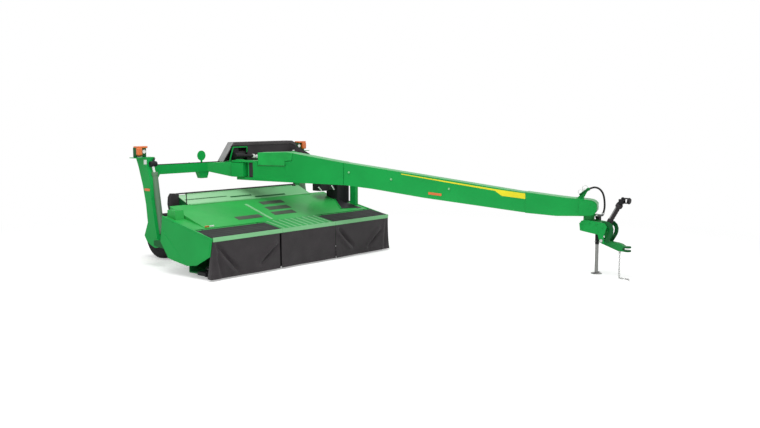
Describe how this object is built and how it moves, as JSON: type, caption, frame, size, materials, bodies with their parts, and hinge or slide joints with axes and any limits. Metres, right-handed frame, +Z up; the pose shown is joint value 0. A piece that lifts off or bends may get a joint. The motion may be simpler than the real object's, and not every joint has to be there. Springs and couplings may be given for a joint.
{
  "type": "disc mower conditioner",
  "caption": "Trailed disc mower conditioner with a swinging centre-pivot tongue, wide curtained header, conditioner rolls, two wheels and a hitch on its parking jack.",
  "frame": {"origin": "on the ground under the middle of the whole machine's box", "axes": "+Z up, travel along -Y, +X to the machine's left; the machine's centreline lies at X = -0.144"},
  "size_m": [4.4482, 7.5979, 2],
  "materials": {
    "green": "gloss machine green paint",
    "deck_green": "pale sun-lit machine green paint",
    "yellow": "yellow paint",
    "black": "black paint",
    "plastic_green": "moulded green cover",
    "curtain": "rubberised cloth",
    "tyre": "tyre rubber",
    "steel": "bright steel",
    "cast": "dark cast iron",
    "lens": "amber lens",
    "dark_plastic": "black moulded guard"
  },
  "bodies": {
    "frame": {"crossbar": "green", "pivot_head": "green", "leg_right": "green", "leg_left": "green", "lamps": "lens", "shroud": "dark_plastic", "shroud_wing": "dark_plastic", "gearcases": "green", "cross_shaft": "dark_plastic"},
    "header": {"cutterbar": "green", "header_frame": "green", "deck": "deck_green", "rear_hood": "deck_green", "centre_section": "deck_green", "centre_curtain": "curtain", "forming_shields": "green", "drive_tower": "green", "drive_guard": "dark_plastic", "side_panel_right": "green", "side_panel_left": "green"},
    "tongue": {"tongue_box": "green", "tongue_cover": "plastic_green", "tongue_beam": "green", "hose_holder": "green", "hose_arch": "curtain", "hose_elbow": "steel"},
    "hitch": {"hitch_frame": "green", "hitch_gearcase": "green", "hitch_guard": "black", "drawbar": "cast", "safety_chain": "steel", "jack_sleeve": "black"},
    "pto": {"pto_shaft": "dark_plastic"},
    "jack": {"jack_leg": "steel"},
    "swing_barrel": {"cylinder_barrel": "black"},
    "swing_rod": {"cylinder_rod": "steel"},
    "wheel_right": {"rim_right": "yellow", "tyre_right": "tyre"},
    "wheel_left": {"rim_left": "yellow", "tyre_left": "tyre"},
    "door_right": {"door_frame_right": "deck_green", "door_panel_right": "black", "door_curtain_right": "curtain"},
    "door_left": {"door_frame_left": "deck_green", "door_panel_left": "black", "door_curtain_left": "curtain"},
    "lower_roll": {"roll_lower": "steel"},
    "upper_roll": {"roll_upper": "steel"},
    "disc_1": {"rotor_1": "steel"},
    "disc_2": {"rotor_2": "steel"},
    "disc_3": {"rotor_3": "steel"},
    "disc_4": {"rotor_4": "steel"},
    "disc_5": {"rotor_5": "steel"},
    "disc_6": {"rotor_6": "steel"},
    "disc_7": {"rotor_7": "steel"},
    "disc_8": {"rotor_8": "steel"}
  },
  "joints": [
    {"name": "wheel_right", "type": "hinge", "parent": "frame", "child": "wheel_right", "pos_m": [-1.2625, 3.405, 0.3937], "axis": [1, 0, 0], "continuous": true},
    {"name": "wheel_left", "type": "hinge", "parent": "frame", "child": "wheel_left", "pos_m": [0.9745, 3.405, 0.3937], "axis": [1, 0, 0], "continuous": true},
    {"name": "tongue_swing", "type": "hinge", "parent": "frame", "child": "tongue", "pos_m": [-0.144, 2.715, 1.54], "axis": [0, 0, 1], "range_deg": [-50.3, 9.7]},
    {"name": "cylinder_turn", "type": "hinge", "parent": "frame", "child": "swing_barrel", "pos_m": [0.756, 2.965, 1.56], "axis": [0, 0, 1], "range_deg": [-7, 2]},
    {"name": "cylinder_stroke", "type": "slide", "parent": "swing_barrel", "child": "swing_rod", "axis": [-0.6965, -0.7175, 0], "range_m": [-0.08, 0.39]},
    {"name": "hitch_swivel", "type": "hinge", "parent": "tongue", "child": "hitch", "pos_m": [1.97925, -3.02488, 0.9], "axis": [0, 0, 1], "range_deg": [-69.7, 110.3]},
    {"name": "pto_fold", "type": "hinge", "parent": "hitch", "child": "pto", "pos_m": [1.97925, -3.33988, 0.8], "axis": [1, 0, 0], "range_deg": [0, 75]},
    {"name": "jack_slide", "type": "slide", "parent": "hitch", "child": "jack", "axis": [0, 0, 1], "range_m": [0, 0.3]},
    {"name": "header_lift", "type": "hinge", "parent": "frame", "child": "header", "pos_m": [-0.144, 2.735, 0.4], "axis": [1, 0, 0], "range_deg": [-15, 0]},
    {"name": "door_right", "type": "hinge", "parent": "header", "child": "door_right", "pos_m": [-1.444, 1.45, 0.723], "axis": [-1, 0, 0], "range_deg": [0, 80]},
    {"name": "door_left", "type": "hinge", "parent": "header", "child": "door_left", "pos_m": [1.156, 1.45, 0.723], "axis": [-1, 0, 0], "range_deg": [0, 80]},
    {"name": "lower_roll_spin", "type": "hinge", "parent": "header", "child": "lower_roll", "pos_m": [-0.144, 1.915, 0.33], "axis": [1, 0, 0], "continuous": true},
    {"name": "upper_roll_spin", "type": "hinge", "parent": "header", "child": "upper_roll", "pos_m": [-0.144, 2.055, 0.53], "axis": [1, 0, 0], "continuous": true},
    {"name": "disc_1_spin", "type": "hinge", "parent": "header", "child": "disc_1", "pos_m": [-1.88, 1.275, 0.128], "axis": [0, 0, 1], "continuous": true},
    {"name": "disc_2_spin", "type": "hinge", "parent": "header", "child": "disc_2", "pos_m": [-1.384, 1.275, 0.128], "axis": [0, 0, 1], "continuous": true},
    {"name": "disc_3_spin", "type": "hinge", "parent": "header", "child": "disc_3", "pos_m": [-0.888, 1.275, 0.128], "axis": [0, 0, 1], "continuous": true},
    {"name": "disc_4_spin", "type": "hinge", "parent": "header", "child": "disc_4", "pos_m": [-0.392, 1.275, 0.128], "axis": [0, 0, 1], "continuous": true},
    {"name": "disc_5_spin", "type": "hinge", "parent": "header", "child": "disc_5", "pos_m": [0.104, 1.275, 0.128], "axis": [0, 0, 1], "continuous": true},
    {"name": "disc_6_spin", "type": "hinge", "parent": "header", "child": "disc_6", "pos_m": [0.6, 1.275, 0.128], "axis": [0, 0, 1], "continuous": true},
    {"name": "disc_7_spin", "type": "hinge", "parent": "header", "child": "disc_7", "pos_m": [1.096, 1.275, 0.128], "axis": [0, 0, 1], "continuous": true},
    {"name": "disc_8_spin", "type": "hinge", "parent": "header", "child": "disc_8", "pos_m": [1.592, 1.275, 0.128], "axis": [0, 0, 1], "continuous": true}
  ],
  "couplings": [
    {"joint": "cylinder_turn", "follows": "tongue_swing", "ratio": 0.13},
    {"joint": "cylinder_stroke", "follows": "tongue_swing", "m_per_rad": -0.4309},
    {"joint": "upper_roll_spin", "follows": "lower_roll_spin", "ratio": -1},
    {"joint": "disc_2_spin", "follows": "disc_1_spin", "ratio": -1},
    {"joint": "disc_3_spin", "follows": "disc_1_spin", "ratio": 1},
    {"joint": "disc_4_spin", "follows": "disc_1_spin", "ratio": -1},
    {"joint": "disc_5_spin", "follows": "disc_1_spin", "ratio": 1},
    {"joint": "disc_6_spin", "follows": "disc_1_spin", "ratio": -1},
    {"joint": "disc_7_spin", "follows": "disc_1_spin", "ratio": 1},
    {"joint": "disc_8_spin", "follows": "disc_1_spin", "ratio": -1}
  ]
}
